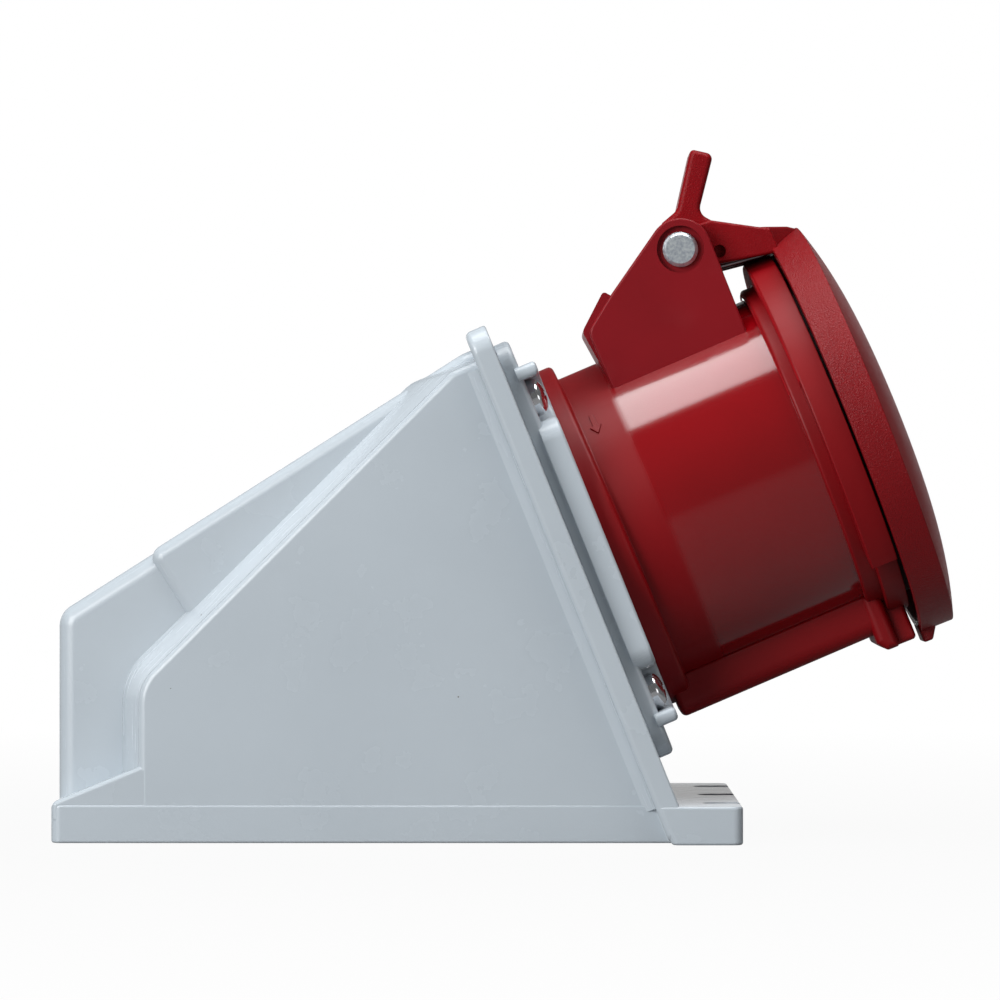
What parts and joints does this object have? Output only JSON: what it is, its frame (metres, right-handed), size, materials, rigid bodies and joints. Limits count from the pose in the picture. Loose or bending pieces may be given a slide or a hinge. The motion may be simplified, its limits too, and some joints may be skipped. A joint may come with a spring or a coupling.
{
  "type": "industrial wall socket outlet",
  "caption": "Wall-mounted angled power socket with a grey enclosure, a tilted red tubular shell for a round plug, and a sprung hinged lid with a finger lever.",
  "frame": {"origin": "centre of the wall plate's back face", "axes": "+X along the wall from the cable end to the plug end, +Y across the wall, +Z away from the wall"},
  "size_m": [0.1781, 0.09, 0.1374],
  "materials": {
    "grey_plastic": "satin moulded",
    "red_plastic": "glossy tube, fine grain on the lid",
    "dark_plastic": "matt",
    "rubber": "matt",
    "pin_steel": "zinc plated",
    "spring_steel": "drawn wire",
    "screw_steel": "bright plated",
    "contact_brass": "machined"
  },
  "bodies": {
    "enclosure": {"base_plate": "grey_plastic", "hood": "grey_plastic", "mouth_frame": "grey_plastic", "entry_plate": "grey_plastic", "hood_gasket": "rubber", "hood_screws": "screw_steel", "hood_screw_seals": "rubber", "entry_grommet": "rubber", "socket_flange": "grey_plastic", "flange_gasket": "rubber", "flange_screws": "screw_steel", "shell_seal": "rubber", "socket_shell": "red_plastic", "contact_insert": "dark_plastic", "insert_back": "dark_plastic", "insert_ring": "dark_plastic", "insert_screw": "screw_steel", "contact_l1": "contact_brass", "contact_l2": "contact_brass", "contact_l3": "contact_brass", "contact_neutral": "contact_brass", "contact_earth": "contact_brass", "terminal_screws": "screw_steel", "contact_springs": "spring_steel", "hinge_pin": "pin_steel", "lid_spring": "spring_steel"},
    "lid": {"lid": "red_plastic", "lid_gasket": "rubber"}
  },
  "joints": [
    {"name": "lid_hinge", "type": "hinge", "parent": "enclosure", "child": "lid", "pos_m": [0.05598, 0, 0.11682], "axis": [0, -1, 0], "range_deg": [0, 105], "stiffness_Nm_per_rad": 0.12, "springref_deg": -68.75, "deforming": ["lid_spring"]}
  ]
}
